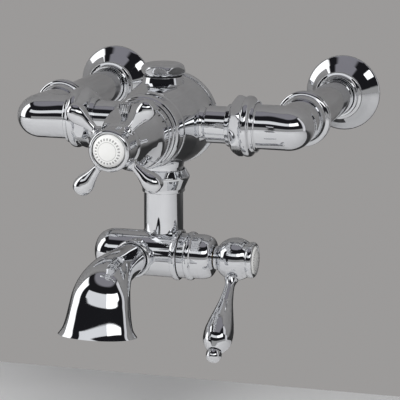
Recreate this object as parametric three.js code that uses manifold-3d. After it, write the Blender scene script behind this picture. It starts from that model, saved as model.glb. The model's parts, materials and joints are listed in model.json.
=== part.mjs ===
// Wall mounted thermostatic bath faucet.
// Millimetres, +Z up, +Y into the wall. The origin is on the wall plane, midway between the two inlets.
// Most pieces are turned. Three lathe directions are used:
//   outwards: along -Y, heights are distances from the wall plane
//   sideways: along +X (or mirrored to -X), heights are distances from the centre plane
//   upwards:  along +Z, heights are Z values
import * as THREE from 'three';
import { ParametricGeometry } from 'three/addons/geometries/ParametricGeometry.js';
import { mergeVertices } from 'three/addons/utils/BufferGeometryUtils.js';
import Module from 'manifold-3d';

const wasm = await Module();
wasm.setup();

// Driving dimensions
const INLET_SPACING = 150;      // centre to centre of the two wall pipes
const INLET_X = INLET_SPACING / 2;
const REACH = 135;              // wall plane to the axis of the elbows and side arms
const PIPE_R = 11;              // 22 mm wall pipes
const BORE_R = 9;
const GAP = 0.3;                // clearance between neighbouring pieces
const ELBOW_R = 12.8;
const ELBOW_BULGE = 1.12;       // the corner stands proud of the legs, seen from above
const FLANGE_R = 23.5;
const DRUM_R = 27.5;            // rear lip of the mixing valve
const ARM_R = 10.7;             // side arms of the mixing valve
const DOWN_PIPE_R = 11.4;
const FLOW_AXIS = { y: -142, z: -76.7 };   // axis of the flow valve, along X
const FLOW_R = 13.2;
const SPOUT_X = -11.2;          // the spout stands to the left of the down pipe
const HUB_X = 46;               // middle of the lever's ball hub
const HUB_R = 12.4;
const LEVER_TILT = 45;          // degrees forward of straight down
const CROSS_PLANE = 221;        // distance from the wall to the cross handle's arms
const HANDLE_ARMS = 4;
const CROSS_TURN = 50;          // degrees from +X to the first arm of the cross
const BUTTON_TILT = 9;          // degrees from the top to the override button, towards -X
const BUTTON_PLACE = 194.5;      // distance from the wall to the override button

// Number of facets round a turned piece
const FINE = 16;
const MEDIUM = 12;
const COARSE = 8;

// Finishes: colour, roughness, metalness
const FINISHES = {
  chrome: [0xd8dbe0, 0.06, 1],
  brass: [0xb08d4a, 0.35, 1],
  steel: [0xa9abae, 0.3, 1],
  rubber: [0x1b1b1c, 0.8, 0],
  nylon: [0xe6e2d6, 0.5, 0],
  ceramic: [0xdcd8cf, 0.25, 0],
  wax_copper: [0xb06a45, 0.35, 1],
  porcelain: [0xf6f6f4, 0.12, 0],
};

// ---- Solids ----

// A solid of revolution about +Z. The profile is [radius, height] pairs that start and end on the axis.
function turned(profile, segments = FINE) {
  const points = profile.map(([radius, height]) => new THREE.Vector2(radius, height));
  if (THREE.ShapeUtils.area(points) < 0) points.reverse();
  return new THREE.LatheGeometry(points, segments).rotateX(Math.PI / 2);
}

// A turned ring: the profile runs once round its section and is closed here.
function ring(profile, segments = FINE) {
  return turned([...profile, profile[0]], segments);
}

// A plain tube between two heights.
function tube(outer, inner, low, high, segments = FINE) {
  return ring([[outer, low], [outer, high], [inner, high], [inner, low]], segments);
}

// A plain rod between two heights.
function rod(radius, low, high, segments = MEDIUM) {
  return turned([[0, low], [radius, low], [radius, high], [0, high]], segments);
}

// A ball on the axis at a height.
function ball(radius, height, segments = FINE) {
  return new THREE.SphereGeometry(radius, segments, segments / 2)
    .rotateX(Math.PI / 2)
    .translate(0, 0, height);
}

// A hexagonal prism about +Z, with a corner on +X.
function hexagon(cornerRadius, low, high) {
  const corners = [];
  for (let i = 0; i < 6; i++) {
    const angle = (i * Math.PI) / 3;
    corners.push(new THREE.Vector2(cornerRadius * Math.cos(angle), cornerRadius * Math.sin(angle)));
  }
  return new THREE.ExtrudeGeometry(new THREE.Shape(corners), { depth: high - low, bevelEnabled: false })
    .translate(0, 0, low);
}

// A bar with round ends, lying along X, with its flat faces at two heights.
function pill(length, width, low, high) {
  const r = width / 2;
  const half = length / 2 - r;
  const shape = new THREE.Shape();
  shape.absarc(half, 0, r, -Math.PI / 2, Math.PI / 2, false);
  shape.absarc(-half, 0, r, Math.PI / 2, (3 * Math.PI) / 2, false);
  return new THREE.ExtrudeGeometry(shape, { depth: high - low, bevelEnabled: false, curveSegments: 6 })
    .translate(0, 0, low);
}

// The centre line of a coil spring.
class Helix extends THREE.Curve {
  constructor(radius, low, high, turns) {
    super();
    Object.assign(this, { radius, low, high, turns });
  }

  getPoint(t, target = new THREE.Vector3()) {
    const angle = t * this.turns * 2 * Math.PI;
    const height = this.low + t * (this.high - this.low);
    return target.set(this.radius * Math.cos(angle), this.radius * Math.sin(angle), height);
  }
}

function coil(radius, wireRadius, low, high, turns) {
  const section = new THREE.Shape().absarc(0, 0, wireRadius, 0, 2 * Math.PI, false);
  const path = new Helix(radius, low + wireRadius, high - wireRadius, turns);
  const steps = Math.round(turns * 8);
  return new THREE.ExtrudeGeometry(section, { extrudePath: path, steps, curveSegments: 3 });
}

// ---- Joining and cutting ----

function solid(geometry) {
  const bare = geometry.clone();
  bare.deleteAttribute('normal');
  bare.deleteAttribute('uv');
  const merged = mergeVertices(bare, 1e-4);
  return new wasm.Manifold(new wasm.Mesh({
    numProp: 3,
    vertProperties: merged.attributes.position.array,
    triVerts: new Uint32Array(merged.index.array),
  }));
}

function geometryOf(manifold) {
  const mesh = manifold.getMesh();
  const geometry = new THREE.BufferGeometry();
  geometry.setAttribute('position', new THREE.BufferAttribute(mesh.vertProperties, 3));
  geometry.setIndex(new THREE.BufferAttribute(mesh.triVerts, 1));
  geometry.computeVertexNormals();
  return geometry;
}

function joined(...geometries) {
  return geometryOf(geometries.map(solid).reduce((whole, piece) => whole.add(piece)));
}

function cut(geometry, ...tools) {
  return geometryOf(tools.map(solid).reduce((whole, tool) => whole.subtract(tool), solid(geometry)));
}

function common(first, second) {
  return geometryOf(solid(first).intersect(solid(second)));
}

// ---- Placing ----

const faucet = new THREE.Group();
faucet.name = 'wall_mounted_bath_faucet';

function groupAt(x, y, z, parent = faucet) {
  const group = new THREE.Group();
  group.position.set(x, y, z);
  parent.add(group);
  return group;
}

function add(parent, name, geometry, finish) {
  const [color, roughness, metalness] = FINISHES[finish];
  const material = new THREE.MeshStandardMaterial({ color, roughness, metalness });
  const mesh = new THREE.Mesh(geometry, material);
  mesh.name = name;
  parent.add(mesh);
  return mesh;
}

// The middle axis out of the wall: heights are distances from the wall plane.
const outwards = groupAt(0, 0, 0);
outwards.rotation.x = Math.PI / 2;

// The vertical axis of the down pipe.
const upwards = groupAt(0, -REACH, 0);

// ---- Inlets, one on each side ----

// The flange is a hollow shell with a neck that slides on the pipe.
function wallFlange() {
  return ring([
    [FLANGE_R, 0], [FLANGE_R, 1.4], [18.6, 5.4], [13.6, 10.6], [14.8, 12], [14.8, 14.4], [12.6, 15.6],
    [12.6, 19], [PIPE_R + GAP, 19], [PIPE_R + GAP, 9.4], [17.4, 4.2], [20.8, 2.2], [20.8, 0],
  ]);
}

function elbow() {
  const socket = [
    [0, 97.4], [13.6, 97.4], [16.2, 99.4], [16.2, 102.6], [14, 104.6], [ELBOW_R, 107], [ELBOW_R, REACH],
    [0, REACH],
  ];
  const tail = [
    [0, 50.4], [13.8, 50.4], [13.8, 56.8], [ELBOW_R, 57.6], [ELBOW_R, INLET_X], [0, INLET_X],
  ];
  const toWall = (geometry) => geometry.rotateX(Math.PI / 2).translate(INLET_X, REACH, 0);
  const toBody = (geometry) => geometry.rotateY(Math.PI / 2);
  const corner = (radius, bulge) => ball(radius, 0).scale(bulge, bulge, 1).translate(INLET_X, 0, 0);
  return cut(
    joined(toWall(turned(socket)), toBody(turned(tail)), corner(ELBOW_R, ELBOW_BULGE)),
    toWall(rod(PIPE_R + GAP, 96, 111.7, FINE)),
    toWall(rod(BORE_R, 110, REACH, FINE)),
    toBody(rod(BORE_R, 49, INLET_X, FINE)),
    corner(BORE_R, 1),
  );
}

// A collar, a double chamfered hexagon and a round bead, over the union between elbow and body.
function unionNut() {
  const chamfers = [[0, 42.4], [14.6, 42.4], [17.8, 45.2], [17.8, 47.4], [16.2, 50], [0, 50]];
  const bead = [
    [0, 39.7], [12.2, 39.7], [12.6, 43], [14.8, 49], [16.2, 49.2], [17.5, 51], [17.3, 53.4], [14.9, 55.2],
    [14.9, 56.5], [0, 56.5],
  ];
  return cut(
    joined(common(hexagon(17.8, 42, 51), turned(chamfers)), turned(bead)),
    turned([[0, 39], [ARM_R + GAP, 39], [ARM_R + GAP, 44.6], [14.1, 44.6], [14.1, 57], [0, 57]]),
  );
}

function checkValveCage() {
  return ring([[7.7, 33], [7.7, 46], [4.6, 46], [4.6, 45], [6.3, 43.6], [6.3, 33]], MEDIUM);
}

// A mushroom: its head shuts against the lip on the elbow's side, and its stem points to the body.
function checkValvePoppet() {
  return turned([[0, 34], [1.4, 34], [1.4, 40.6], [5.7, 40.6], [5.7, 42.4], [3.6, 43.4], [0, 44]], COARSE);
}

for (const [side, mirror] of [['left', -1], ['right', 1]]) {
  const half = groupAt(0, 0, 0);
  half.scale.x = mirror;

  const inlet = groupAt(INLET_X, 0, 0, half);
  inlet.rotation.x = Math.PI / 2;
  add(inlet, `wall_flange_${side}`, wallFlange(), 'chrome');
  add(inlet, `flange_seal_${side}`, tube(20.4, 14, 0, 1.6), 'rubber');
  add(inlet, `wall_pipe_${side}`, tube(PIPE_R, BORE_R, 0, 111.4), 'chrome');

  const atReach = groupAt(0, -REACH, 0, half);
  add(atReach, `elbow_${side}`, elbow(), 'chrome');

  const sideways = groupAt(0, 0, 0, atReach);
  sideways.rotation.y = Math.PI / 2;
  add(sideways, `union_nut_${side}`, unionNut(), 'chrome');
  add(sideways, `union_washer_${side}`, tube(13, 8.4, 48.3, 50.1, MEDIUM), 'rubber');
  add(sideways, `check_valve_cage_${side}`, checkValveCage(), 'nylon');
  add(sideways, `check_valve_poppet_${side}`, checkValvePoppet(), 'nylon');
  add(sideways, `check_valve_spring_${side}`, coil(3.2, 0.35, 35.6, 40.3, 3), 'steel');
}

// ---- Mixing valve ----

// The drum with its two side arms, top boss and bottom spigot, bored right through.
function valveBody() {
  const drum = [
    [0, 119.3], [26.4, 119.3], [26.6, 126], [25.6, 138], [23.6, 150], [21.2, 160], [17.8, 160],
    [17.8, 171.6], [0, 171.6],
  ];
  const arm = [
    [0, 18], [12, 18], [9.6, 25.4], [9.6, 26.4], [ARM_R, 28], [ARM_R, 44.9], [13.2, 44.9], [13.2, 48.1],
    [0, 48.1],
  ];
  const boss = [[0, 15], [13.4, 15], [11.4, 26.9], [0, 26.9]];
  const spigot = [[0, -15], [13.6, -15], [11.7, -25.4], [11.7, -32], [0, -32]];
  const outward = (geometry) => geometry.rotateX(Math.PI / 2).translate(0, REACH, 0);
  const sideways = (geometry) => geometry.rotateY(Math.PI / 2);
  const whole = joined(
    outward(turned(drum)),
    sideways(turned(arm)),
    sideways(turned(arm)).rotateZ(Math.PI),
    turned(boss, MEDIUM),
    turned(spigot, MEDIUM),
  );
  const hollow = [
    [0, 119], [17.2, 119], [17.2, 121.4], [15, 121.4], [15, 172], [0, 172],
  ];
  return cut(
    whole,
    outward(turned(hollow)),
    sideways(rod(8, -49, 49)),
    rod(7.8, 0, 28),
    rod(8.4, -33, 0),
  );
}

function rearCover() {
  return turned([
    [0, 111.6], [22, 111.6], [26, 113.4], [DRUM_R, 115.8], [DRUM_R, 117.6], [26.6, 119], [16.8, 119],
    [16.8, 120.4], [0, 120.4],
  ]);
}

// Screws on the drum's front spigot and holds the cartridge in.
function shoulderRing() {
  return ring([
    [21.6, 160.3], [22, 162.6], [21.3, 164.4], [21.3, 170.6], [19.6, 172.8], [19.6, 174.5], [11.8, 174.5],
    [11.8, 172], [18.2, 172], [18.2, 160.3],
  ]);
}

function indexRing() {
  return ring([
    [20.1, 174.8], [20.1, 177.4], [19.2, 178.4], [19.2, 182.8], [10, 182.8], [10, 174.8],
  ]);
}

// The sleeve that holds the spool, with windows for hot, cold and mixed water.
function cartridgeSleeve() {
  const body = ring([
    [14.5, 121.7], [14.5, 171.6], [5.4, 171.6], [5.4, 167], [11.5, 167], [11.5, 121.7],
  ], MEDIUM);
  const slot = (height) => new THREE.BoxGeometry(40, 9, 5).translate(0, 0, height);
  return cut(body, slot(130.5), slot(142.5), slot(152));
}

// The sleeve's neighbours in line: spool, wax element and spindle.
function spool() {
  return ring([
    [11.2, 126.2], [11.2, 147], [8, 147], [8, 140], [6.3, 140], [6.3, 134], [8, 134], [8, 126.2],
  ], MEDIUM);
}

function waxElement() {
  return turned([
    [0, 129], [4.4, 129], [6, 130.6], [6, 146], [4, 148], [2, 148], [2, 152], [0, 152],
  ], COARSE);
}

function spindle() {
  return turned([
    [0, 153], [8.6, 153], [8.6, 166.4], [5, 166.4], [5, 201.6], [4, 202.4], [4, 223.4], [2.3, 223.4],
    [2.3, 212], [0, 211],
  ], COARSE);
}

add(upwards, 'valve_body', valveBody(), 'chrome');
add(outwards, 'rear_cover', rearCover(), 'chrome');
add(outwards, 'rear_seal', new THREE.TorusGeometry(16.1, 0.35, 6, MEDIUM).translate(0, 0, 120.9), 'rubber');
add(outwards, 'shoulder_ring', shoulderRing(), 'chrome');
add(outwards, 'index_ring', indexRing(), 'chrome');
add(outwards, 'cartridge_sleeve', cartridgeSleeve(), 'brass');
add(outwards, 'thermostat_spool', spool(), 'brass');
add(outwards, 'wax_element', waxElement(), 'wax_copper');
add(outwards, 'thermostat_spring', coil(9.5, 0.4, 122.8, 125.9, 2), 'steel');
add(outwards, 'temperature_spindle', spindle(), 'brass');

// ---- Cross handle ----

// The skirt and hub in one, with four sockets for the arms and a pocket for the override button.
function handleBody() {
  const profile = [
    [5.3, 183.2], [18.8, 183.2], [18.8, 191], [16.4, 195.4], [13.4, 202.4], [11.5, 211.4], [12.2, 213.4],
    [11.2, 215], [11.2, 226.8], [4.4, 226.8], [4.4, 202.4], [5.3, 201.8],
  ];
  const sockets = [];
  for (let i = 0; i < HANDLE_ARMS; i++) {
    sockets.push(crossArm(rod(2.5, 8.4, 13, COARSE), i));
  }
  return cut(ring(profile), ...sockets, onButtonAxis(pill(8, 5.8, 9, 24)));
}

// Turns a piece made along +Z to the place of one arm of the cross.
function crossArm(geometry, index) {
  const angle = THREE.MathUtils.degToRad(CROSS_TURN + (index * 360) / HANDLE_ARMS);
  return geometry.rotateY(Math.PI / 2).rotateZ(angle).translate(0, 0, CROSS_PLANE);
}

function handleArm() {
  return turned([
    [0, 8.8], [2.2, 8.8], [2.2, 12], [3.7, 13.2], [2.4, 15], [3, 20], [5, 25.8], [5, 29.8],
    [3, 32.8], [0, 33.4],
  ], COARSE);
}

// Turns a piece made along +Z to the radial axis of the override button. Its length lies along the handle's axis.
function onButtonAxis(geometry) {
  return geometry
    .rotateY(-Math.PI / 2)
    .rotateZ(-Math.PI / 2 + THREE.MathUtils.degToRad(BUTTON_TILT))
    .translate(0, 0, BUTTON_PLACE);
}

add(outwards, 'handle_body', handleBody(), 'chrome');
for (let i = 0; i < HANDLE_ARMS; i++) {
  add(outwards, `handle_arm_${i + 1}`, crossArm(handleArm(), i), 'chrome');
}

function overrideButton() {
  return joined(pill(7.4, 5.2, 14.4, 20), pill(6.6, 4.2, 19.8, 20.8));
}

function hubBezel() {
  return ring([
    [10.8, 227.1], [11.8, 228.6], [11.4, 230.6], [9.5, 231.4], [9.5, 229], [8.4, 229], [8.4, 227.1],
  ]);
}

function porcelainButton() {
  return turned([
    [0, 229.3], [9.1, 229.3], [9.1, 231.2], [7.4, 232.7], [4, 233.5], [0, 233.8],
  ], MEDIUM);
}

function handleScrew() {
  return turned([
    [0, 213], [2, 213], [2, 227.1], [5.4, 227.1], [5.4, 228.4], [4.6, 229], [0, 229],
  ], COARSE);
}

add(outwards, 'override_button', onButtonAxis(overrideButton()), 'chrome');
add(outwards, 'override_spring', onButtonAxis(coil(1.5, 0.3, 11.6, 14.1, 3)), 'steel');
add(outwards, 'handle_bezel', hubBezel(), 'chrome');
add(outwards, 'porcelain_button', porcelainButton(), 'porcelain');
add(outwards, 'handle_screw', handleScrew(), 'steel');

// ---- Top cap, bottom union and down pipe ----

function topCap() {
  const chamfers = [
    [0, 28.1], [11.4, 28.1], [13.4, 29.8], [13.4, 31], [11.2, 33.4], [0, 34.2],
  ];
  const bead = [[0, 16], [7.5, 16], [7.5, 28.1], [11.6, 28.1], [11.4, 29], [0, 29]];
  return joined(common(hexagon(13.4, 27, 35), turned(chamfers)), turned(bead, MEDIUM));
}

function bottomUnionNut() {
  return ring([
    [11.7, -40.6], [12.4, -40.6], [12.4, -38.4], [15.1, -32.4], [15.1, -31.2], [12.9, -27.2],
    [12.15, -27.2], [12.15, -36.3], [11.7, -36.3],
  ]);
}

function downPipe() {
  return ring([
    [DOWN_PIPE_R, -66.4], [DOWN_PIPE_R, -35.9], [11.85, -35.9], [11.85, -33.8], [BORE_R, -33.8],
    [BORE_R, -66.4],
  ]);
}

add(upwards, 'cap_washer', tube(10.9, 8.1, 27.1, 27.8, MEDIUM), 'rubber');
add(upwards, 'top_cap', topCap(), 'chrome');
add(upwards, 'down_pipe_washer', tube(11.5, 8.8, -33.5, -32.3, MEDIUM), 'rubber');
add(upwards, 'bottom_union_nut', bottomUnionNut(), 'chrome');
add(upwards, 'down_pipe', downPipe(), 'chrome');

// ---- Flow valve ----

// Points of an arc about the turning axis, from one height to another.
function arc(radius, centre, low, high, steps) {
  const points = [];
  for (let i = 0; i <= steps; i++) {
    const offset = low + ((high - low) * i) / steps - centre;
    points.push([Math.sqrt(radius * radius - offset * offset), centre + offset]);
  }
  return points;
}

// The barrel with its domed left end, a socket on top for the down pipe and a boss in front for the spout.
function flowValveBody() {
  const barrel = [
    [0, -39], [5.4, -38.4], [10.2, -35.6], [12.8, -30.6], [FLOW_R, -27], [FLOW_R, 9.6], [14.6, 10.6],
    [14.6, 12.4], [13.8, 13.1], [0, 13.1],
  ];
  const sideways = (geometry) => geometry.rotateY(Math.PI / 2);
  const onDownPipe = (geometry) => geometry.translate(0, -REACH - FLOW_AXIS.y, -FLOW_AXIS.z);
  const onSpout = (geometry) => geometry.rotateX(Math.PI / 2).translate(SPOUT_X, -FLOW_AXIS.y, 0);
  return cut(
    joined(
      sideways(turned(barrel)),
      onDownPipe(turned([[0, -80], [12.9, -80], [12.9, -65.2], [12.4, -64.4], [0, -64.4]])),
      onSpout(turned([[0, 145], [10, 145], [10, 156.1], [0, 156.1]])),
    ),
    sideways(rod(9.9, -30, 14, FINE)),
    onDownPipe(rod(DOWN_PIPE_R + GAP, -66.7, -60, FINE)),
    onDownPipe(rod(BORE_R, -76.7, -66, FINE)),
    onSpout(rod(7.6, 143, 157)),
  );
}

function bonnet() {
  return ring([
    [13.1, 13.4], [13.1, 17.6], [14, 18.7], [14, 20.1], [12.9, 21.4], [12.9, 28.6], [10.8, 32.4],
    [7.8, 33.4], [5.2, 33.4], [5.2, 28.6], [9.5, 28.6], [9.5, 13.4],
  ]);
}

function flowCartridge() {
  const body = ring([
    [9.2, -10], [9.2, 28.3], [5.2, 28.3], [5.2, 22], [7.8, 22], [7.8, -10],
  ], MEDIUM);
  return cut(body, new THREE.BoxGeometry(30, 6, 7).translate(0, 0, 8));
}

// Two ceramic discs with the same pair of ports: one stays, one turns.
function ceramicDisc(low, high) {
  const port = () => rod(2.3, low - 1, high + 1, COARSE);
  return cut(rod(7.4, low, high), port().translate(3.8, 0, 0), port().translate(-3.8, 0, 0));
}

function flowSpindle() {
  return turned([
    [0, -0.6], [7, -0.6], [7, 2.4], [4.9, 2.4], [4.9, 34.2], [3.9, 34.8], [3.9, 49.8], [2.3, 49.8],
    [2.3, 41], [0, 40],
  ], COARSE);
}

// ---- Lever ----

// Turns a piece made along +Z to the lever's direction, about the middle of the hub.
function alongLever(geometry) {
  return geometry.rotateX(Math.PI - THREE.MathUtils.degToRad(LEVER_TILT)).translate(HUB_X, 0, 0);
}

function leverHub() {
  const profile = [
    [6.8, 33.8], [6.8, 35.6], ...arc(HUB_R, HUB_X, HUB_X - 8.4, HUB_X + 8, 6), [10.1, 55.4], [9.6, 57.6],
    [8.6, 57.6], [8.6, 55.2], [6.4, 55.2], [6.4, 50.6], [4.3, 50.6], [4.3, 34.8], [5.2, 34.6], [5.2, 33.8],
  ];
  return cut(ring(profile).rotateY(Math.PI / 2), alongLever(rod(3, 8.2, 14, COARSE)));
}

function leverArm() {
  return turned([
    [0, 8.6], [2.7, 8.6], [2.7, 12.6], [3.9, 14], [2.8, 17.6], [3.3, 25], [5.4, 35.4], [7.6, 44.5],
    [8.2, 50], [7.6, 56], [4.2, 61], [0, 61.4],
  ], MEDIUM);
}

function leverTip() {
  return turned([[0, 61.7], [4.2, 61.7], [4.4, 62.6], [4.3, 65.2], [3.2, 67.2], [0, 67.8]], COARSE);
}

function leverScrew() {
  return turned([
    [0, 42], [2, 42], [2, 50.9], [5.6, 50.9], [5.6, 52.6], [4.8, 53.2], [0, 53.2],
  ], COARSE);
}

function leverIndexDisc() {
  return turned([[0, 55.5], [8.3, 55.5], [8.3, 57.2], [7.2, 57.9], [4, 58.4], [0, 58.6]], MEDIUM);
}

const flowValve = groupAt(0, FLOW_AXIS.y, FLOW_AXIS.z);
const alongFlow = groupAt(0, 0, 0, flowValve);
alongFlow.rotation.y = Math.PI / 2;

add(flowValve, 'flow_valve_body', flowValveBody(), 'chrome');
add(alongFlow, 'flow_bonnet', bonnet(), 'chrome');
add(alongFlow, 'flow_cartridge', flowCartridge(), 'brass');
add(alongFlow, 'fixed_ceramic_disc', ceramicDisc(-5.8, -3.4), 'ceramic');
add(alongFlow, 'turning_ceramic_disc', ceramicDisc(-3.1, -0.9), 'ceramic');
add(alongFlow, 'flow_spindle', flowSpindle(), 'brass');
add(flowValve, 'lever_hub', leverHub(), 'chrome');
add(flowValve, 'lever_arm', alongLever(leverArm()), 'chrome');
add(flowValve, 'lever_tip', alongLever(leverTip()), 'chrome');
add(alongFlow, 'lever_screw', leverScrew(), 'steel');
add(alongFlow, 'lever_index_disc', leverIndexDisc(), 'porcelain');

// ---- Spout ----

const SPOUT_WALL = 2.2;

// Stations along the spout: distance from the wall, height, downward slope, half width, half depth
const SPOUT_STATIONS = [
  [157.9, -76.7, 0, 9, 9],
  [166, -76.3, 0, 9.5, 9.5],
  [181, -75.8, 3, 10.8, 10],
  [196, -76.3, 11, 12.6, 10.6],
  [206.5, -79.2, 30, 14.8, 11],
  [212.8, -84.6, 50, 16.6, 11.3],
  [215.8, -91, 66, 17.7, 11.4],
  [217.9, -97.6, 78, 18.9, 11.6],
  [219.5, -102.6, 85, 20.4, 12.2],
  [220.3, -106, 88, 22.8, 13.4],
];

const spoutLine = new THREE.CatmullRomCurve3(
  SPOUT_STATIONS.map(([distance, height, slope]) => new THREE.Vector3(distance, height, slope)),
);
const spoutSize = new THREE.CatmullRomCurve3(
  SPOUT_STATIONS.map(([, , , halfWidth, halfDepth]) => new THREE.Vector3(halfWidth, halfDepth, 0)),
);

// A point on the spout's outer skin, or on a skin inside it, round the section and along the path.
function spoutPoint(round, along, inset, target) {
  const { x: distance, y: height, z: slope } = spoutLine.getPoint(along);
  const size = spoutSize.getPoint(along);
  const angle = round * 2 * Math.PI;
  const tilt = THREE.MathUtils.degToRad(slope);
  const across = (size.x - inset) * Math.cos(angle);
  const over = (size.y - inset) * Math.sin(angle);
  return target.set(across, -distance - over * Math.sin(tilt), height + over * Math.cos(tilt));
}

// The outer skin from root to lip, then the inner skin back to the root, closed on itself.
function spout() {
  const steps = 10;
  const rings = 2 * steps + 2;
  const surface = (u, v, target) => {
    const i = Math.round(v * rings) % rings;
    const inner = i > steps;
    const along = inner ? (rings - 1 - i) / steps : i / steps;
    spoutPoint(u % 1, along, inner ? SPOUT_WALL : 0, target);
  };
  return new ParametricGeometry(surface, FINE, rings);
}

function spoutCollar() {
  return ring([
    [10.2, 156.4], [11.2, 157.8], [11.2, 159.4], [10.2, 161], [9.5, 161], [9.5, 157.6], [7.6, 157.6],
    [7.6, 156.4],
  ]);
}

const spoutAxis = groupAt(SPOUT_X, 0, FLOW_AXIS.z);
spoutAxis.rotation.x = Math.PI / 2;
add(spoutAxis, 'spout_collar', spoutCollar(), 'chrome');
add(groupAt(SPOUT_X, 0, 0), 'spout', spout(), 'chrome');

export default faucet;
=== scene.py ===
"""The looks of a wall mounted thermostatic bath faucet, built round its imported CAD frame.

Shapes are made in millimetres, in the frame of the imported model: +Z up, +Y into the wall, and the origin on
the wall plane between the two inlets. The function piece() scales them to metres and puts them on their CAD
body.
"""

import json
import math

import bmesh
import bpy
from mathutils import Matrix, Vector

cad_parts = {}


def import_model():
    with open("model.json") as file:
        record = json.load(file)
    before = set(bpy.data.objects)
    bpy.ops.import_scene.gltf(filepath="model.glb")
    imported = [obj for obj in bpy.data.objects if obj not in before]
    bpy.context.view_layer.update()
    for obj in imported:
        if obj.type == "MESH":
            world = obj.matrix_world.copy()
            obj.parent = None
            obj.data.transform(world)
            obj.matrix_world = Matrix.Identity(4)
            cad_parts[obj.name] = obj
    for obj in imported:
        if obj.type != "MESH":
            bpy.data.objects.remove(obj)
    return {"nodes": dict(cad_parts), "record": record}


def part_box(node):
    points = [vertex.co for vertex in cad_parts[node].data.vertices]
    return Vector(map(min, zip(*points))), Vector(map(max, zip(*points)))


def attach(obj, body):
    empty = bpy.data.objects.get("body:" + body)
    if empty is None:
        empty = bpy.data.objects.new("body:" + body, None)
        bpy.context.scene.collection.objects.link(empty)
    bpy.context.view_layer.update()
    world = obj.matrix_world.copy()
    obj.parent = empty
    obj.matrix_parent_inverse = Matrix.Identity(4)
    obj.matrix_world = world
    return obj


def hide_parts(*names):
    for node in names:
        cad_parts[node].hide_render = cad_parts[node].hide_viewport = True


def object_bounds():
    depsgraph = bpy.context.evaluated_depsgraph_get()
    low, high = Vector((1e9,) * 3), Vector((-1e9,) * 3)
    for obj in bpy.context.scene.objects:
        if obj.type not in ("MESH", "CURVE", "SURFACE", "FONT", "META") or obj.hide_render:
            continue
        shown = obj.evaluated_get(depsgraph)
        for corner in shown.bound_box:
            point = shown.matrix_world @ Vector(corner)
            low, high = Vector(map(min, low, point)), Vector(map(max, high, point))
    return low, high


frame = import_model()
cad_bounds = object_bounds()

MM = 0.001
SEGMENTS = 96  # facets round a turned piece
CURVE_STEP = math.radians(9)  # facets along a rounded corner
SHARP_EDGE = math.radians(35)
MERGE = 0.002  # points this near are one point
SOFT = 9  # a fillet that reaches as far as its neighbours allow
COIL_STEPS = 32  # steps in one turn of a spring
WIRE_FACETS = 12
CORE_REACH = 0.7  # how far inside a nut's round core its outer profile can run
OUT, RIGHT, LEFT, UP = (0, -1, 0), (1, 0, 0), (-1, 0, 0), (0, 0, 1)

# Driving angles and stations, in degrees and millimetres
CROSS_TURN = 50
CROSS_PLANE = 221
HANDLE_ARMS = 4
BUTTON_TILT = 9
BUTTON_PLACE = 194.5
LEVER_TILT = 45
ELBOW_BULGE = 1.12  # how far the elbow's corner stands proud, as a share of its radius
BULGE_LENGTH = 14
HUB_X = 46
HUB_R = 12.4
PIPE_R = 11
BORE_R = 9

# ---- The frame ----

record = frame["record"]
BODY_OF = {node: body for body, nodes in record["behaviour"]["bodies"].items() for node in nodes}
SLOT_OF = {part["node"]: part["material_slot"] for part in record["subparts"]}


def middle(node):
    low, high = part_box(node)
    return (low + high) / 2 / MM


def axis_at(node, along, across):
    """A place on a node's centre line, at zero along it. Its Z is along the line, its X across."""
    along, across = Vector(along), Vector(across)
    centre = middle(node)
    turn = Matrix((across, along.cross(across), along)).transposed().to_4x4()
    return Matrix.Translation(centre - along * centre.dot(along)) @ turn


OUTWARDS = axis_at("index_ring", OUT, RIGHT)
UPWARDS = axis_at("down_pipe", UP, RIGHT)
FLOW = axis_at("flow_cartridge", RIGHT, UP)
SPOUT_AXIS = axis_at("spout_collar", OUT, RIGHT)
INLET = {side: axis_at(f"wall_pipe_{side}", OUT, RIGHT) for side in ("left", "right")}
SIDEWAYS = {
    "left": axis_at("union_washer_left", LEFT, UP),
    "right": axis_at("union_washer_right", RIGHT, UP),
}

# ---- Profiles ----


def rounded(points, fillet, closed):
    """A profile of (radius, height) with its corners rounded. A third value is that point's own fillet."""
    out = []
    last = len(points) - 1
    for i, point in enumerate(points):
        here = Vector(point[:2])
        before = Vector(points[i - 1][:2]) - here
        after = Vector(points[i + 1 if i < last else 0][:2]) - here
        reach = point[2] if len(point) > 2 else fillet
        reach = min(reach, before.length / 2, after.length / 2)
        steps = math.ceil((math.pi - before.angle(after)) / CURVE_STEP)
        if reach <= 0 or steps < 1 or (not closed and i in (0, last)):
            out.append(here)
            continue
        start = here + before.normalized() * reach
        end = here + after.normalized() * reach
        for k in range(steps + 1):
            t = k / steps
            out.append(start * (1 - t) ** 2 + here * (2 * t * (1 - t)) + end * t * t)
    return out


def divided(points, length, closed):
    """The same profile with points at most this length apart."""
    out = []
    ends = points[1:] + points[:1] if closed else points[1:]
    for start, end in zip(points, ends):
        steps = max(1, math.ceil((end - start).length / length))
        out += [start.lerp(end, k / steps) for k in range(steps)]
    return out if closed else out + points[-1:]


def radius_at(points, height):
    """The radius of a profile at a height, or nothing outside it."""
    for (r1, h1), (r2, h2) in zip(points, points[1:]):
        if min(h1, h2) <= height <= max(h1, h2) and h1 != h2:
            return r1 + (r2 - r1) * (height - h1) / (h2 - h1)
    return 0


def arc(radius, centre, low, high, steps):
    """Points of an arc about the turning axis, from one height to another."""
    offsets = [low + (high - low) * i / steps - centre for i in range(steps + 1)]
    return [(math.sqrt(radius * radius - offset * offset), centre + offset) for offset in offsets]


# ---- Meshes ----


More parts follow.
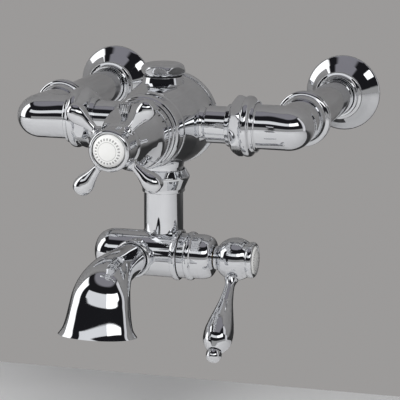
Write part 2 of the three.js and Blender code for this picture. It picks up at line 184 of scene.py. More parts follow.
def skin(rows, closed=False):
    """A mesh over rows of points that each run once round the piece. A row of one point is a pole."""
    mesh = bmesh.new()
    loops = [[mesh.verts.new(point) for point in row] for row in rows]
    following = loops[1:] + loops[:1] if closed else loops[1:]
    for lower, upper in zip(loops, following):
        count = max(len(lower), len(upper))
        for i in range(count):
            j = (i + 1) % count
            below = [lower[i % len(lower)], lower[j % len(lower)]]
            above = [upper[j % len(upper)], upper[i % len(upper)]]
            corners = list(dict.fromkeys(below + above))
            if len(corners) > 2:
                mesh.faces.new(corners)
    bmesh.ops.remove_doubles(mesh, verts=mesh.verts, dist=MERGE)
    bmesh.ops.dissolve_degenerate(mesh, dist=MERGE / 2, edges=mesh.edges)
    bmesh.ops.recalc_face_normals(mesh, faces=mesh.faces)
    return mesh


def circle(radius, height, count=SEGMENTS):
    if radius < MERGE:
        return [Vector((0, 0, height))]
    angles = [2 * math.pi * i / count for i in range(count)]
    return [Vector((radius * math.cos(a), radius * math.sin(a), height)) for a in angles]


def turned(profile, fillet=0.25, closed=False, segments=SEGMENTS):
    """A piece turned about +Z from a profile that starts and ends on the axis, or closes on itself."""
    points = rounded(profile, fillet, closed)
    return skin([circle(radius, height, segments) for radius, height in points], closed)


def ring(profile, fillet=0.25, segments=SEGMENTS):
    return turned(profile, fillet, True, segments)


def tube(outer, inner, low, high, fillet=0.2):
    return ring([(outer, low), (outer, high), (inner, high), (inner, low)], fillet)


def rod(radius, low, high, fillet=0):
    return turned([(0, low), (radius, low), (radius, high), (0, high)], fillet)


def soft_min(a, b, reach):
    """The smaller value, with a rounded change from one to the other."""
    blend = max(reach - abs(a - b), 0) / reach
    return min(a, b) - blend * blend * reach / 4


def hexagonal(profile, corner_radius, closed=False, core=(), reach=0.15):
    """A turned piece milled to a hexagon with a corner on +X. The core is a profile that stays round."""
    points = divided(rounded(profile, 0.15, closed), 0.35, closed)
    core = rounded(core, SOFT, False) if core else []
    flat = corner_radius * math.cos(math.pi / 6)
    rows = []
    for radius, height in points:
        round_part = radius_at(core, height) if core else 0
        on_core = round_part and radius > round_part - CORE_REACH
        row = []
        for i in range(SEGMENTS * 2):
            angle = math.pi * i / SEGMENTS
            across = flat / math.cos((angle % (math.pi / 3)) - math.pi / 6)
            size = soft_min(radius, across, reach)
            if on_core:
                size = -soft_min(-size, -round_part, reach)
            row.append(Vector((size * math.cos(angle), size * math.sin(angle), height)))
        rows.append(row if radius > MERGE else [Vector((0, 0, height))])
    return skin(rows, closed)


def helix(radius, wire, low, high, turns):
    """A coil spring of round wire."""
    rows = []
    steps = round(turns * COIL_STEPS)
    for i in range(steps + 1):
        angle = 2 * math.pi * turns * i / steps
        side = Vector((math.cos(angle), math.sin(angle), 0))
        height = low + wire + (high - low - 2 * wire) * i / steps
        row = [side * (radius + wire * math.cos(a)) + Vector((0, 0, height + wire * math.sin(a)))
               for a in (2 * math.pi * k / WIRE_FACETS for k in range(WIRE_FACETS))]
        rows.append(row)
    ends = [[sum(rows[k], Vector()) / WIRE_FACETS] for k in (0, -1)]
    return skin([ends[0], *rows, ends[1]])


def moved(mesh, place):
    mesh.transform(place)
    return mesh


def combined(base, others, operation):
    """The first mesh joined with, or cut by, the others."""
    def temporary(mesh):
        data = bpy.data.meshes.new("temporary")
        mesh.to_mesh(data)
        mesh.free()
        shape = bpy.data.objects.new("temporary", data)
        bpy.context.collection.objects.link(shape)
        return shape

    whole = temporary(base)
    tools = [temporary(mesh) for mesh in others]
    for tool in tools:
        change = whole.modifiers.new("change", "BOOLEAN")
        change.operation = operation
        change.solver = "EXACT"
        change.object = tool
    ready = whole.evaluated_get(bpy.context.evaluated_depsgraph_get())
    result = bmesh.new()
    result.from_mesh(ready.to_mesh())
    ready.to_mesh_clear()
    for shape in (whole, *tools):
        data = shape.data
        bpy.data.objects.remove(shape)
        bpy.data.meshes.remove(data)
    return result


def joined(base, *others):
    return combined(base, others, "UNION")


def cut(base, *others):
    return combined(base, others, "DIFFERENCE")


def piece(node, mesh, place=Matrix(), material=None):
    """The finished piece that stands for a CAD node: on its body, and with its slot's material."""
    mesh.transform(Matrix.Scale(MM, 4) @ place)
    bmesh.ops.recalc_face_normals(mesh, faces=mesh.faces)
    data = bpy.data.meshes.new(f"{node}_fine")
    mesh.to_mesh(data)
    mesh.free()
    data.shade_smooth()
    data.set_sharp_from_angle(angle=SHARP_EDGE)
    data.materials.append(material or FINISHES[SLOT_OF[node]])
    shape = bpy.data.objects.new(f"{node}_fine", data)
    bpy.context.collection.objects.link(shape)
    normals = shape.modifiers.new("even_normals", "WEIGHTED_NORMAL")
    normals.keep_sharp = True
    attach(shape, BODY_OF[node])
    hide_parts(node)
    return shape


# ---- Materials ----


class Shader:
    """A material's or the world's nodes, with short ways to add to them."""

    def __init__(self, tree):
        self.tree = tree
        tree.nodes.clear()

    def add(self, kind, inputs=(), **settings):
        node = self.tree.nodes.new(f"ShaderNode{kind}")
        for name, value in settings.items():
            setattr(node, name, value)
        for key, value in dict(inputs).items():
            if isinstance(value, bpy.types.NodeSocket):
                self.tree.links.new(value, node.inputs[key])
            else:
                node.inputs[key].default_value = value
        return node

    def math(self, operation, *values):
        return self.add("Math", enumerate(values), operation=operation).outputs[0]

    def spread(self, value, low, high, new_low=0.0, new_high=1.0, kind="LINEAR"):
        inputs = {"Value": value, "From Min": low, "From Max": high, "To Min": new_low, "To Max": new_high}
        return self.add("MapRange", inputs, interpolation_type=kind).outputs["Result"]

    def window(self, value, low, high, soft):
        """1 where a value lies between two others, with soft edges."""
        rise = self.spread(value, low - soft, low + soft, kind="SMOOTHSTEP")
        fall = self.spread(value, high - soft, high + soft, 1.0, 0.0, kind="SMOOTHSTEP")
        return self.math("MULTIPLY", rise, fall)

    def noise(self, where, scale, detail=3.0, roughness=0.5):
        inputs = {"Vector": where, "Scale": scale, "Detail": detail, "Roughness": roughness}
        return self.add("TexNoise", inputs).outputs["Fac"]

    def mix(self, factor, first, second):
        node = self.add("Mix", {"Factor": factor}, data_type="RGBA")
        for key, value in ((6, first), (7, second)):
            if isinstance(value, bpy.types.NodeSocket):
                self.tree.links.new(value, node.inputs[key])
            else:
                node.inputs[key].default_value = (*value, 1)
        return node.outputs[2]


def finish(name, colour, dark_colour, rough, metallic=0.0, grain=300.0, bump=0.02, fine=4000.0, marks=None,
           coat=0.0):
    """A material whose colour and roughness wander between two values. marks paints on its colour."""
    material = bpy.data.materials.new(name)
    material.use_nodes = True
    shader = Shader(material.node_tree)
    where = shader.add("TexCoord").outputs["Object"]
    patches = shader.noise(where, grain)
    tone = shader.spread(patches, 0.3, 0.7)
    base = shader.mix(tone, dark_colour, colour)
    if marks:
        base = shader.mix(marks(shader, where), base, MARK_COLOUR)
    streaks = shader.noise(where, grain * 2.7, 5.0, 0.65)
    roughness = shader.spread(streaks, 0.3, 0.75, *rough)
    height = shader.noise(where, fine, 2.0)
    bumps = shader.add("Bump", {"Strength": bump, "Distance": 0.0004, "Height": height}).outputs["Normal"]
    surface = shader.add("BsdfPrincipled", {
        "Base Color": base, "Roughness": roughness, "Metallic": metallic, "Normal": bumps,
        "Coat Weight": coat, "Coat Roughness": 0.04,
    })
    shader.add("OutputMaterial", {"Surface": surface.outputs[0]})
    return material


MARK_COLOUR = (0.03, 0.03, 0.035)


def polar(shader, where, centre, along):
    """Distance from an axis, angle round it and place along it, in metres and degrees."""
    offset = shader.add("VectorMath", {0: where, 1: centre * MM}, operation="SUBTRACT").outputs[0]
    x, y, z = shader.add("SeparateXYZ", {0: offset}).outputs
    across, depth = (x, y) if along == "Y" else (y, x)
    radius = shader.math("SQRT", shader.math("ADD", shader.math("MULTIPLY", across, across),
                                             shader.math("MULTIPLY", z, z)))
    angle = shader.math("DEGREES", shader.math("ARCTAN2", across, z))
    return radius, angle, depth


def ticks(shader, angle, step, width):
    """1 on marks of this width in degrees, every step degrees."""
    phase = shader.math("PINGPONG", angle, step / 2)
    return shader.spread(phase, width / 2, width / 2 + 0.3, 1.0, 0.0)


def dial_marks(node, low, high, reach, step, width):
    """Marks round a turned piece of the handle axis, from low to high from the wall."""
    def paint(shader, where):
        _, angle, depth = polar(shader, where, middle(node) * Vector((1, 0, 1)), "Y")
        band = shader.window(depth, -high * MM, -low * MM, 0.05 * MM)
        arc_part = shader.window(angle, *reach, 0.5)
        marked = shader.math("MULTIPLY", band, arc_part)
        return shader.math("MULTIPLY", marked, ticks(shader, angle, step, width))
    return paint


def face_marks(node, along, line, low, high):
    """A thin circle and a ring of dashes on a round face."""
    def paint(shader, where):
        radius, angle, _ = polar(shader, where, middle(node), along)
        dashes = shader.math("MULTIPLY", shader.window(radius, low * MM, high * MM, 0.05 * MM),
                             ticks(shader, angle, 15, 7))
        circle_line = shader.window(radius, (line - 0.1) * MM, (line + 0.1) * MM, 0.05 * MM)
        return shader.math("MULTIPLY", shader.math("MAXIMUM", dashes, circle_line), 0.6)
    return paint


def chrome(name="chrome", marks=None):
    light, dark = (0.80, 0.81, 0.83), (0.76, 0.77, 0.79)
    return finish(name, light, dark, (0.015, 0.05), 1.0, 60.0, 0.004, 900.0, marks)


def porcelain(name="porcelain", marks=None):
    light, dark = (0.9, 0.9, 0.89), (0.86, 0.86, 0.84)
    return finish(name, light, dark, (0.08, 0.16), 0.0, 150.0, 0.01, 700.0, marks, 0.5)


FINISHES = {
    "chrome": chrome(),
    "porcelain": porcelain(),
    "rubber": finish("rubber", (0.03, 0.03, 0.032), (0.018, 0.018, 0.02), (0.6, 0.85), bump=0.25),
    "nylon": finish("nylon", (0.82, 0.79, 0.72), (0.74, 0.71, 0.63), (0.4, 0.6), bump=0.1),
    "steel": finish("steel", (0.56, 0.56, 0.57), (0.45, 0.45, 0.46), (0.2, 0.4), 1.0, 500.0, 0.06),
    "brass": finish("brass", (0.72, 0.58, 0.31), (0.6, 0.46, 0.22), (0.22, 0.42), 1.0, 350.0, 0.08),
    "ceramic": finish("ceramic", (0.82, 0.8, 0.75), (0.77, 0.75, 0.69), (0.15, 0.3), bump=0.03),
    "copper": finish("copper", (0.72, 0.44, 0.29), (0.58, 0.3, 0.19), (0.25, 0.45), 1.0, 300.0, 0.06),
}

# ---- Inlets ----


def elbow_rows(legs, radius_scale, reach, corner_x):
    """Rows of an elbow's skin from the tail's end, round the corner, to the socket's end.

    The tail lies along X and the socket along Y. The outer half of the section turns about the corner
    as part of a ball, and the inner half meets on the mitre.
    """
    tail, socket = legs
    angles = [2 * math.pi * i / SEGMENTS for i in range(SEGMENTS)]
    rows = []

    def section(place, radius, bulge):
        rows.append([
            place(radius * math.cos(a), bulge) + Vector((0, 0, radius * math.sin(a))) for a in angles
        ])

    def swell(distance):
        """How much the outer half stands proud at a distance from the corner."""
        near = max(0, 1 - distance / BULGE_LENGTH)
        return 1 + (radius_scale - 1) * near * near * (3 - 2 * near)

    def on_tail(x):
        def place(u, bulge):
            flush = min(x, corner_x + u) if u < 0 else x
            return Vector((flush, -reach - max(u, 0) * bulge - min(u, 0), 0))
        return place

    def on_corner(turn):
        def place(u, bulge):
            if u < 0:
                return Vector((corner_x + u, -reach - u, 0))
            return Vector((corner_x + u * bulge * math.sin(turn), -reach - u * bulge * math.cos(turn), 0))
        return place

    def on_socket(distance):
        def place(u, bulge):
            flush = max(distance, -u) if u < 0 else distance
            return Vector((corner_x + max(u, 0) * bulge + min(u, 0), -reach + flush, 0))
        return place

    for radius, x in tail:
        section(on_tail(x), radius, swell(corner_x - x))
    for i in range(1, 16):
        section(on_corner(i / 16 * math.pi / 2), tail[-1][0], radius_scale)
    for radius, distance in socket:
        section(on_socket(distance), radius, swell(distance))
    return rows


def elbow(side):
    corner_x = abs(middle(f"wall_pipe_{side}").x)
    reach = abs(middle(f"union_washer_{side}").y)
    steps = [k / 7 for k in range(1, 8)]
    tail = rounded([(13.8, 50.4), (13.8, 56.8), (12.8, 57.6), (12.8, 61)], 0.4, False)
    tail += [Vector((12.8, 61 + (corner_x - 61) * k)) for k in steps]
    socket = [Vector((12.8, 20 * (1 - k))) for k in reversed(steps)]
    socket += rounded([(12.8, 20), (12.8, 28), (14, 30.4), (15.4, 31), (16.2, 31.8), (16.2, 33.4),
                       (15.2, 34.2), (16.2, 35.0), (16.2, 36), (13.8, 37.6)], 0.45, False)
    inner_tail = [Vector((BORE_R, 50.4)), Vector((BORE_R, corner_x))]
    inner_socket = [Vector((BORE_R, 0.01)), Vector((BORE_R, 23.3)), Vector((PIPE_R + 0.1, 23.3)),
                    Vector((PIPE_R + 0.1, 37.6))]
    outer = elbow_rows((tail, socket), ELBOW_BULGE, reach, corner_x)
    inner = elbow_rows((inner_tail, inner_socket), 1, reach, corner_x)
    mesh = skin(outer + inner[::-1], closed=True)
    mirror = Matrix.Scale(-1, 4, RIGHT) if side == "left" else Matrix()
    piece(f"elbow_{side}", mesh, mirror)


def union_nut(side):
    """A collar, a double chamfered hexagon and a round bead."""
    envelope = [(11, 39.7), (12.2, 39.7), (12.6, 42.3), (14.4, 42.5), (17.8, 45.2), (17.8, 47.4),
                (16.3, 49.9), (17.2, 50.6), (17.6, 51.8), (17.2, 53.4), (15, 55), (14.9, 56.5),
                (14.1, 56.5), (14.1, 44.6), (11, 44.6)]
    core = [(11, 39.7), (12.2, 39.7), (12.6, 43), (14, 48.4), (15.6, 49.2), (17.4, 50.2), (17.6, 52),
            (17.2, 53.6), (15, 55), (14.9, 56.5)]
    piece(f"union_nut_{side}", hexagonal(envelope, 17.8, True, core), SIDEWAYS[side])


def wall_flange(side):
    profile = [(23.5, 0), (23.5, 1.1), (22.8, 1.9), (18.6, 5.4), (13.9, 10.2), (13.7, 11.2), (14.7, 11.9),
               (14.9, 13.2), (14.7, 14.5), (12.9, 15.2), (12.7, 16), (12.7, 19), (PIPE_R + 0.3, 19),
               (PIPE_R + 0.3, 9.4), (17.4, 4.2), (20.8, 2.2), (20.8, 0)]
    piece(f"wall_flange_{side}", ring(profile, 0.4), INLET[side])


def inlets():
    for side in ("left", "right"):
        wall_flange(side)
        piece(f"flange_seal_{side}", tube(20.4, 14, 0, 1.6), INLET[side])
        piece(f"wall_pipe_{side}", tube(PIPE_R, BORE_R, 0, 111.4), INLET[side])
        elbow(side)
        union_nut(side)
        along = SIDEWAYS[side]
        piece(f"union_washer_{side}", tube(13, 8.4, 48.3, 50.1), along)
        cage = [(7.7, 33), (7.7, 46), (4.6, 46), (4.6, 45), (6.3, 43.6), (6.3, 33)]
        piece(f"check_valve_cage_{side}", ring(cage), along)
        poppet = [(0, 34), (1.4, 34), (1.4, 40.6), (5.7, 40.6), (5.7, 42.4), (3.6, 43.4), (0, 44)]
        piece(f"check_valve_poppet_{side}", turned(poppet), along)
        piece(f"check_valve_spring_{side}", helix(3.2, 0.35, 35.6, 40.3, 3), along)


# ---- Mixing valve ----


def valve_body():
    """The drum, its two arms, the top boss and the bottom spigot in one casting, bored right through."""
    drum = [(0, 119.3), (26.4, 119.3), (26.6, 126), (25.6, 138, 5), (23.6, 150, 5), (21.2, 160),
            (17.8, 160), (17.8, 171.6), (0, 171.6)]
    arm = [(0, 18), (12.6, 18), (10.2, 23.4, 2), (9.5, 25.6, 0.6), (9.6, 26.6, 0.5), (10.7, 27.6),
           (10.7, 44.9), (13.2, 44.9), (13.2, 48.1), (0, 48.1)]
    boss = [(0, 15), (13.6, 15), (12.4, 22, 3), (11.4, 26.9), (0, 26.9)]
    spigot = [(0, -32), (11.7, -32), (11.7, -25.4), (12.6, -21, 3), (13.8, -15), (0, -15)]
    hollow = [(0, 118), (17.2, 118), (17.2, 121.4), (15, 121.4), (15, 173), (0, 173)]
    outer = joined(
        moved(turned(drum), OUTWARDS),
        moved(turned(arm), SIDEWAYS["left"]),
        moved(turned(arm), SIDEWAYS["right"]),
        moved(turned(boss), UPWARDS),
        moved(turned(spigot), UPWARDS),
    )
    whole = cut(
        outer,
        moved(turned(hollow, 0), OUTWARDS),
        moved(rod(8, -49, 49), SIDEWAYS["right"]),
        moved(rod(7.8, 0, 28), UPWARDS),
        moved(rod(8.4, -33, 0), UPWARDS),
    )
    piece("valve_body", whole)


def mixing_valve():
    valve_body()
    rear_cover = [(0, 111.6), (21.4, 111.6), (25.6, 113, 3), (27.5, 115.8, 1.5), (27.5, 117.6), (26.6, 119),
                  (16.8, 119), (16.8, 120.4), (0, 120.4)]
    piece("rear_cover", turned(rear_cover), OUTWARDS)
    shoulder_ring = [(21.4, 160.3), (22, 161.6), (22.1, 163), (21.4, 164.2), (21.3, 170.2), (20.6, 172),
                     (19.6, 173), (19.6, 174.5), (11.8, 174.5), (11.8, 172), (18.2, 172), (18.2, 160.3)]
    piece("shoulder_ring", ring(shoulder_ring, 0.4), OUTWARDS)
    index_ring = [(20.1, 174.8), (20.3, 176.1), (20.1, 177.4), (19.3, 178.2), (19.2, 182.8), (10, 182.8),
                  (10, 174.8)]
    marks = dial_marks("index_ring", 178.9, 181.9, (-40, 60), 20, 3)
    piece("index_ring", ring(index_ring), OUTWARDS, chrome("index_ring_chrome", marks))
    cartridge_pieces()


def cartridge_pieces():
    """The thermostatic cartridge's sliding parts and springs, behind the spindle."""
    angles = [math.pi * k / 8 for k in range(16)]
    seal = [(16.1 + 0.35 * math.cos(a), 120.9 + 0.35 * math.sin(a)) for a in angles]
    piece("rear_seal", ring(seal, 0), OUTWARDS)
    spool = [(11.2, 126.2), (11.2, 147), (8, 147), (8, 140), (6.3, 140), (6.3, 134), (8, 134), (8, 126.2)]
    piece("thermostat_spool", ring(spool), OUTWARDS)
    wax = [(0, 129), (4.4, 129), (6, 130.6), (6, 146), (4, 148), (2, 148), (2, 152), (0, 152)]
    piece("wax_element", turned(wax), OUTWARDS)
    piece("thermostat_spring", helix(9.5, 0.4, 122.8, 125.9, 2), OUTWARDS)


# ---- Cross handle ----


def arm_place(index):
    """Where one arm of the cross starts, with Z out along it."""
    angle = math.radians(CROSS_TURN + index * 360 / HANDLE_ARMS)
    along = Vector((math.cos(angle), 0, math.sin(angle)))
    turn = Matrix((along.cross(Vector(OUT)), Vector(OUT), along)).transposed().to_4x4()
    return Matrix.Translation(OUTWARDS.translation + Vector((0, -CROSS_PLANE, 0))) @ turn


def button_place():
    """The radial axis of the override button: Z out along it, X along the handle's axis."""
    tilt = math.radians(BUTTON_TILT)
    along = Vector((-math.sin(tilt), 0, math.cos(tilt)))
    turn = Matrix((Vector(OUT), along.cross(Vector(OUT)), along)).transposed().to_4x4()
    return Matrix.Translation(OUTWARDS.translation + Vector((0, -BUTTON_PLACE, 0))) @ turn


def slab(length, width, low, high, corner=1.2):
    """A bar along X with rounded corners, between two heights."""
    def outline(inset, height):
        row = []
        for quarter in range(4):
            x = (length / 2 - corner) * (1 if quarter in (0, 3) else -1)
            y = (width / 2 - corner) * (1 if quarter in (0, 1) else -1)
            for k in range(9):
                angle = (quarter + k / 8) * math.pi / 2
                reach = corner - inset
                row.append(Vector((x + reach * math.cos(angle), y + reach * math.sin(angle), height)))
        return row
    top, bottom = [Vector((0, 0, high))], [Vector((0, 0, low))]
    edge = 0.25
    return skin([bottom, outline(0, low), outline(0, high - edge), outline(edge * 0.3, high - edge * 0.3),
                 outline(edge, high), top])


def override_button():
    """A block with ribs along the handle's axis, so that a thumb finds it."""
    base = slab(7, 5.2, 14.4, 19.9)
    rib_places = [Matrix.Translation((0, (k - 2) * 1.05, 0)) for k in range(5)]
    ribs = [moved(slab(7.4, 0.72, 14.8, 20.8, 0.34), place) for place in rib_places]
    piece("override_button", joined(base, *ribs), button_place())


def handle():
    skirt = [(5.3, 183.2), (18.8, 183.2), (18.8, 190.4), (18.2, 192.2), (16.4, 195.4), (13.8, 201.4, 3),
             (11.7, 210.6), (11.7, 211.8), (12.4, 213.2), (11.6, 214.6), (11.2, 215.6), (11.2, 226.8),
             (4.4, 226.8), (4.4, 202.4), (5.3, 201.8)]
    pocket = moved(slab(8, 5.8, 9, 24, 1.5), button_place())
    sockets = [moved(rod(2.4, 8.4, 13), arm_place(i)) for i in range(HANDLE_ARMS)]
    body = cut(moved(ring(skirt, 0.5), OUTWARDS), pocket, *sockets)
    marks = dial_marks("index_ring", 184.1, 187.4, (-75, 105), 12, 2.2)
    piece("handle_body", body, material=chrome("handle_chrome", marks))

    arm = [(0, 8.8), (2.2, 8.8, 0.1), (2.2, 12, 0.2), (3.2, 12.4), (3.8, 13.2), (3.2, 14), (2.3, 15, 2),
           (3.1, 20.4, SOFT), (5.5, 26, SOFT), (5.3, 30.8, SOFT), (3.2, 33.5, SOFT), (0, 33.4)]
    for i in range(HANDLE_ARMS):
        piece(f"handle_arm_{i + 1}", turned(arm, 0.6), arm_place(i))

    bezel = [(10.8, 227.1), (11.7, 227.6), (11.9, 228.8), (11.6, 230.2), (10.9, 231.1), (10, 231.5),
             (9.5, 231.2), (9.5, 229), (8.4, 229), (8.4, 227.1)]
    piece("handle_bezel", ring(bezel, 0.5), OUTWARDS)
    button = [(0, 229.3), (9.1, 229.3), (9.1, 230.9, 0.6), (7.6, 232.7, 3), (4, 233.7, 3), (0, 233.8)]
    painted = porcelain("temperature_porcelain", face_marks("porcelain_button", "Y", 5.1, 6.0, 7.2))
    piece("porcelain_button", turned(button), OUTWARDS, painted)
    screw = [(0, 213), (2, 213), (2, 227.1), (5.4, 227.1), (5.4, 228.4), (4.6, 229), (0, 229)]
    piece("handle_screw", turned(screw), OUTWARDS)
    spindle = [(0, 153), (8.6, 153), (8.6, 166.4), (5, 166.4), (5, 201.6), (4, 202.4), (4, 223.4),
               (2.3, 223.4), (2.3, 212), (0, 211)]
    piece("temperature_spindle", turned(spindle), OUTWARDS)
    override_button()
    piece("override_spring", helix(1.5, 0.3, 11.6, 14.1, 3), button_place())


# ---- Top cap, bottom union and down pipe ----


def vertical_pieces():
    cap = [(0, 16), (7.5, 16), (7.5, 27.9), (11.4, 27.9), (11.6, 28.3), (13.4, 29.8), (13.4, 31),
           (11.8, 33), (10.9, 33.7), (9.8, 34.2), (0, 34.2)]
    piece("top_cap", hexagonal(cap, 13.4), UPWARDS)
    nut = [(11.7, -40.6), (12.4, -40.6), (12.4, -38.4, 0.3), (15.2, -32.4), (15.2, -31.2), (12.9, -27.2),
           (12.15, -27.2), (12.15, -36.3), (11.7, -36.3)]
    piece("bottom_union_nut", ring(nut, 0.4), UPWARDS)
    pipe = [(11.4, -66.4), (11.4, -35.9), (11.85, -35.9), (11.85, -33.8), (BORE_R, -33.8), (BORE_R, -66.4)]
    piece("down_pipe", ring(pipe, 0.1), UPWARDS)
    piece("cap_washer", tube(10.9, 8.1, 27.1, 27.8), UPWARDS)
    piece("down_pipe_washer", tube(11.5, 8.8, -33.5, -32.3), UPWARDS)


# ---- Flow valve and lever ----


def flow_valve_body():
    """The barrel with its domed end, a socket on top for the down pipe and a boss in front for the spout."""
    barrel = [(0, -39), (5.4, -38.7, SOFT), (10.4, -36, SOFT), (13, -30.8, SOFT), (13.2, -26, 2),
              (13.2, 9.4), (14.1, 9.8), (14.7, 11), (14.6, 12.4), (13.9, 13.1), (0, 13.1)]
    socket = [(0, -80), (13.4, -80), (13.4, -69, 2), (12.9, -66.6), (12.9, -65.2), (12.4, -64.4), (0, -64.4)]
    boss = [(0, 145), (10.6, 145), (10.2, 153.5, 2), (10, 156.1), (0, 156.1)]
    outer = joined(
        moved(turned(barrel), FLOW),
        moved(turned(socket), UPWARDS),
        moved(turned(boss), SPOUT_AXIS),
    )
    whole = cut(
        outer,
        moved(rod(9.9, -30, 14), FLOW),
        moved(rod(11.7, -66.7, -60), UPWARDS),
        moved(rod(BORE_R, -76.7, -66), UPWARDS),
        moved(rod(7.6, 143, 157), SPOUT_AXIS),
    )
    piece("flow_valve_body", whole)


def lever_place():
    """The middle of the lever's hub, with Z down along the lever."""
    hub = next(joint for joint in record["behaviour"]["joints"] if joint["name"] == "lever_turn")
    tilt = math.radians(LEVER_TILT)
    along = Vector((0, -math.sin(tilt), -math.cos(tilt)))
    turn = Matrix((Vector(RIGHT), along.cross(Vector(RIGHT)), along)).transposed().to_4x4()
    return Matrix.Translation(Vector(hub["pos_m"]) / MM) @ turn


def lever():
    hub = [(6.8, 33.8), (6.9, 34.7), (6.8, 35.6), *arc(HUB_R, HUB_X, HUB_X - 8.4, HUB_X + 7.6, 10),
           (10.4, 54.6), (10.4, 56.2), (9.8, 57.4), (8.6, 57.6), (8.6, 55.2), (6.4, 55.2), (6.4, 50.6),
           (4.3, 50.6), (4.3, 34.8), (5.2, 34.6), (5.2, 33.8)]
    socket = moved(rod(2.8, 8.2, 14), lever_place())
    piece("lever_hub", cut(moved(ring(hub, 0.6), FLOW), socket))
    arm = [(0, 8.6), (2.7, 8.6, 0.1), (2.7, 12.2, 0.2), (3.7, 12.8), (4, 13.9), (3.5, 15), (2.7, 17.6, 2.6),
           (3.2, 25, SOFT), (5.4, 35.4, SOFT), (7.8, 44.5, SOFT), (8.6, 50.4, SOFT), (8.0, 56.4, 6),
           (4.4, 61.1, 0.5), (0, 61.4)]
    piece("lever_arm", turned(arm, 0.5), lever_place())
    tip = [(0, 61.7), (4.2, 61.7), (4.4, 62.6, 0.6), (4.3, 65.2, 1.2), (3.2, 67.2, 1), (0, 67.8)]
    piece("lever_tip", turned(tip, 0.5), lever_place())
    disc = [(0, 55.5), (8.3, 55.5), (8.3, 57, 0.5), (7.2, 57.9, 1), (4, 58.5, 2), (0, 58.6)]
    painted = porcelain("lever_porcelain", face_marks("lever_index_disc", "X", 4.6, 5.4, 6.4))
    piece("lever_index_disc", turned(disc), FLOW, painted)
    screw = [(0, 42), (2, 42), (2, 50.9), (5.6, 50.9), (5.6, 52.6), (4.8, 53.2), (0, 53.2)]
    piece("lever_screw", turned(screw), FLOW)


def flow_valve():
    flow_valve_body()
    bonnet = [(13.1, 13.4), (13.1, 17.4), (13.9, 18), (14.2, 19.4), (13.9, 20.8), (12.9, 21.5),
              (12.9, 28, 2), (11.2, 32.2, 2.5), (7.8, 33.4), (5.2, 33.4), (5.2, 28.6), (9.5, 28.6),
              (9.5, 13.4)]
    piece("flow_bonnet", ring(bonnet, 0.4), FLOW)
    spindle = [(0, -0.6), (7, -0.6), (7, 2.4), (4.9, 2.4), (4.9, 34.2), (3.9, 34.8), (3.9, 49.8),
               (2.3, 49.8), (2.3, 41), (0, 40)]
    piece("flow_spindle", turned(spindle), FLOW)
    lever()


# ---- Spout ----

# Stations along the spout: distance from the wall, height, downward slope, half width, half depth
SPOUT_STATIONS = [
    (157.9, -76.7, 0, 9, 9), (166, -76.3, 0, 9.5, 9.5), (181, -75.8, 3, 10.8, 10),
    (196, -76.3, 11, 12.6, 10.6), (206.5, -79.2, 30, 14.8, 11), (212.8, -84.6, 50, 16.6, 11.3),
    (215.8, -91, 66, 17.7, 11.4), (217.9, -97.6, 78, 18.9, 11.6), (219.5, -102.6, 85, 20.4, 12.2),
    (220.3, -106, 88, 22.8, 13.4),
]
SPOUT_WALL = 2.2


def station(along):
    """The spout's station at a place from 0 to 1, on a smooth curve through the list."""
    last = len(SPOUT_STATIONS) - 1
    i = min(int(along * last), last - 1)
    t = along * last - i
    p = [SPOUT_STATIONS[min(max(i + k, 0), last)] for k in (-1, 0, 1, 2)]
    return [
        0.5 * (2 * b + (c - a) * t + (2 * a - 5 * b + 4 * c - d) * t ** 2 + (3 * b - a - 3 * c + d) * t ** 3)
        for a, b, c, d in zip(*p)
    ]


def spout_row(along, inset):
    distance, height, slope, half_width, half_depth = station(along)
    tilt = math.radians(slope)
    row = []
    for i in range(SEGMENTS):
        angle = 2 * math.pi * i / SEGMENTS
        over = (half_depth - inset) * math.sin(angle)
        row.append(Vector((SPOUT_AXIS.translation.x + (half_width - inset) * math.cos(angle),
                           -distance - over * math.sin(tilt), height + over * math.cos(tilt))))
    return row


def spout():
    """The outer skin from root to lip, a rounded lip, then the inner skin back to the root."""
    steps = 72
    outer = [spout_row(k / steps, 0) for k in range(steps + 1)]
    inner = [spout_row(1 - k / steps, SPOUT_WALL) for k in range(steps + 1)]
    lip = [spout_row(1, SPOUT_WALL * k / 4) for k in range(1, 4)]
    piece("spout", skin(outer + lip + inner, closed=True))
    collar = [(10.2, 156.4), (11, 157), (11.3, 158.6), (11, 160.2), (10.2, 161), (9.6, 161), (9.6, 157.6),
              (7.6, 157.6), (7.6, 156.4)]
    piece("spout_collar", ring(collar, 0.5), SPOUT_AXIS)


# ---- The pieces that stay as the frame has them ----


def finish_frame_nodes():
    for name, node in frame["nodes"].items():
        if node.hide_render:
            continue
        for material_slot in node.material_slots:
            material_slot.material = FINISHES[SLOT_OF[name]]


# ---- Studio ----

# Cards round the object: azimuth from the front towards +X, elevation, colour and softness, in degrees
CARDS = [
    ((-180, 180), (62, 100), (0.24, 0.235, 0.26), 3),
    ((-31, 150), (-100, 7), (0.34, 0.34, 0.34), 2),
    ((-47, 15), (25, 39), (0.8, 0.81, 0.83), 0.8),
    ((15, 64), (25, 40), (1.7, 1.7, 1.7), 0.8),
    ((-104, -66), (-4, 48), (1.5, 1.5, 1.5), 2),
    ((82, 106), (-20, 58), (0.7, 0.7, 0.72), 3),
]
DARK_ROOM = (0.012, 0.012, 0.014)
BACKDROP = (0.33, 0.322, 0.318)

# The stage in metres: how far the floor lies below the object, the wall behind it, and their sizes
FLOOR_DROP = 0.075
WALL_GAP = 0.02
STAGE_SIDE = 2
STAGE_FRONT = 2.5
STAGE_TOP = 2


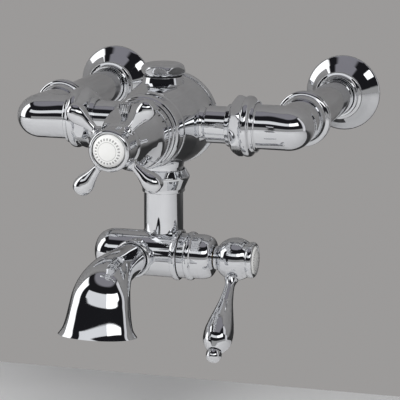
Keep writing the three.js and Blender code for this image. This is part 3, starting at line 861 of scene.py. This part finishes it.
def world():
    """A dark room with grey and white cards for the chrome to mirror, behind a plain backdrop."""
    studio = bpy.data.worlds.new("studio")
    studio.use_nodes = True
    bpy.context.scene.world = studio
    shader = Shader(studio.node_tree)
    direction = shader.add("TexCoord").outputs["Generated"]
    x, y, z = shader.add("SeparateXYZ", {0: direction}).outputs
    azimuth = shader.math("DEGREES", shader.math("ARCTAN2", x, shader.math("MULTIPLY", y, -1.0)))
    elevation = shader.math("DEGREES", shader.math("ARCSINE", z))
    colour = DARK_ROOM
    for azimuths, elevations, card, soft in CARDS:
        mask = shader.window(elevation, *elevations, soft)
        if azimuths != (-180, 180):
            mask = shader.math("MULTIPLY", mask, shader.window(azimuth, *azimuths, soft))
        colour = shader.mix(mask, colour, card)
    seen = shader.add("LightPath").outputs["Is Camera Ray"]
    colour = shader.mix(seen, colour, BACKDROP)
    background = shader.add("Background", {"Color": colour, "Strength": 1.0})
    shader.add("OutputWorld", {"Surface": background.outputs[0]})


def plane(name, corners, material):
    data = bpy.data.meshes.new(name)
    data.from_pydata(corners, [], [range(4)])
    data.materials.append(material)
    shape = bpy.data.objects.new(name, data)
    bpy.context.collection.objects.link(shape)
    return shape


def lamp(name, place, target, size, power):
    data = bpy.data.lights.new(name, "AREA")
    data.shape = "RECTANGLE"
    data.size, data.size_y = size
    data.energy = power
    shape = bpy.data.objects.new(name, data)
    bpy.context.collection.objects.link(shape)
    shape.location = place
    shape.rotation_euler = (target - Vector(place)).to_track_quat("-Z", "Y").to_euler()
    return shape


def wall_with_painted_shade():
    """A plain wall, mid grey above the inlets' level, with painted shade below it: near black there, so that
    the chrome's lower edges mirror dark.
    """
    material = bpy.data.materials.new("wall")
    material.use_nodes = True
    shader = Shader(material.node_tree)
    where = shader.add("TexCoord").outputs["Object"]
    height = shader.add("SeparateXYZ", {0: where}).outputs[2]
    # painted shade: the colour fades to near black below the inlets' level, standing in for shadow low on the
    # wall
    upper = shader.spread(height, -0.11, -0.03, kind="SMOOTHSTEP")
    grain = shader.spread(shader.noise(where, 60.0), 0.3, 0.7, 0.9, 1.0)
    colour = shader.mix(shader.math("MULTIPLY", upper, grain), (0.03, 0.03, 0.03), (0.27, 0.265, 0.262))
    bumps = shader.add("Bump", {"Strength": 0.2, "Distance": 0.0004, "Height": grain}).outputs["Normal"]
    surface = shader.add("BsdfPrincipled", {"Base Color": colour, "Roughness": 0.8, "Normal": bumps})
    shader.add("OutputMaterial", {"Surface": surface.outputs[0]})
    return material


def studio():
    world()
    low, high = cad_bounds
    floor_z = low.z - FLOOR_DROP
    wall_y = high.y + WALL_GAP
    floor = finish("floor", (0.8, 0.8, 0.8), (0.77, 0.77, 0.77), (0.5, 0.7), grain=8.0, bump=0.0)
    side, front, top = STAGE_SIDE, -STAGE_FRONT, STAGE_TOP
    far_edge = [(side, wall_y, floor_z), (-side, wall_y, floor_z)]
    plane("floor", [(-side, front, floor_z), (side, front, floor_z), *far_edge], floor)
    backdrop = plane("wall", [*far_edge[::-1], (side, wall_y, top), (-side, wall_y, top)], wall_with_painted_shade())
    backdrop.visible_camera = False
    centre = (low + high) / 2
    key = lamp("key_light", (0.5, -1.3, 1.3), centre, (1.0, 0.7), 19)
    fill = lamp("fill_light", (-1.3, -1.0, 0.6), centre, (0.6, 0.9), 9)
    for light in (key, fill):
        light.visible_glossy = False


# The camera's direction from the object, and what it looks at
CAMERA_AZIMUTH = math.radians(16.93)
CAMERA_ELEVATION = math.radians(11.97)
CAMERA_DISTANCE = 1.327
CAMERA_TARGET = Vector((-0.0007, -0.060, -0.0615))
CAMERA_LENS = 193.75


def camera():
    data = bpy.data.cameras.new("camera")
    data.lens = CAMERA_LENS
    data.sensor_width = 36
    data.clip_start = 0.05
    shape = bpy.data.objects.new("camera", data)
    bpy.context.collection.objects.link(shape)
    back = Vector((
        math.sin(CAMERA_AZIMUTH) * math.cos(CAMERA_ELEVATION),
        -math.cos(CAMERA_AZIMUTH) * math.cos(CAMERA_ELEVATION),
        math.sin(CAMERA_ELEVATION),
    ))
    shape.location = CAMERA_TARGET + back * CAMERA_DISTANCE
    shape.rotation_euler = (-back).to_track_quat("-Z", "Y").to_euler()
    bpy.context.scene.camera = shape


camera()
inlets()
mixing_valve()
handle()
vertical_pieces()
flow_valve()
spout()
finish_frame_nodes()
studio()
bpy.context.scene.view_settings.view_transform = "Standard"
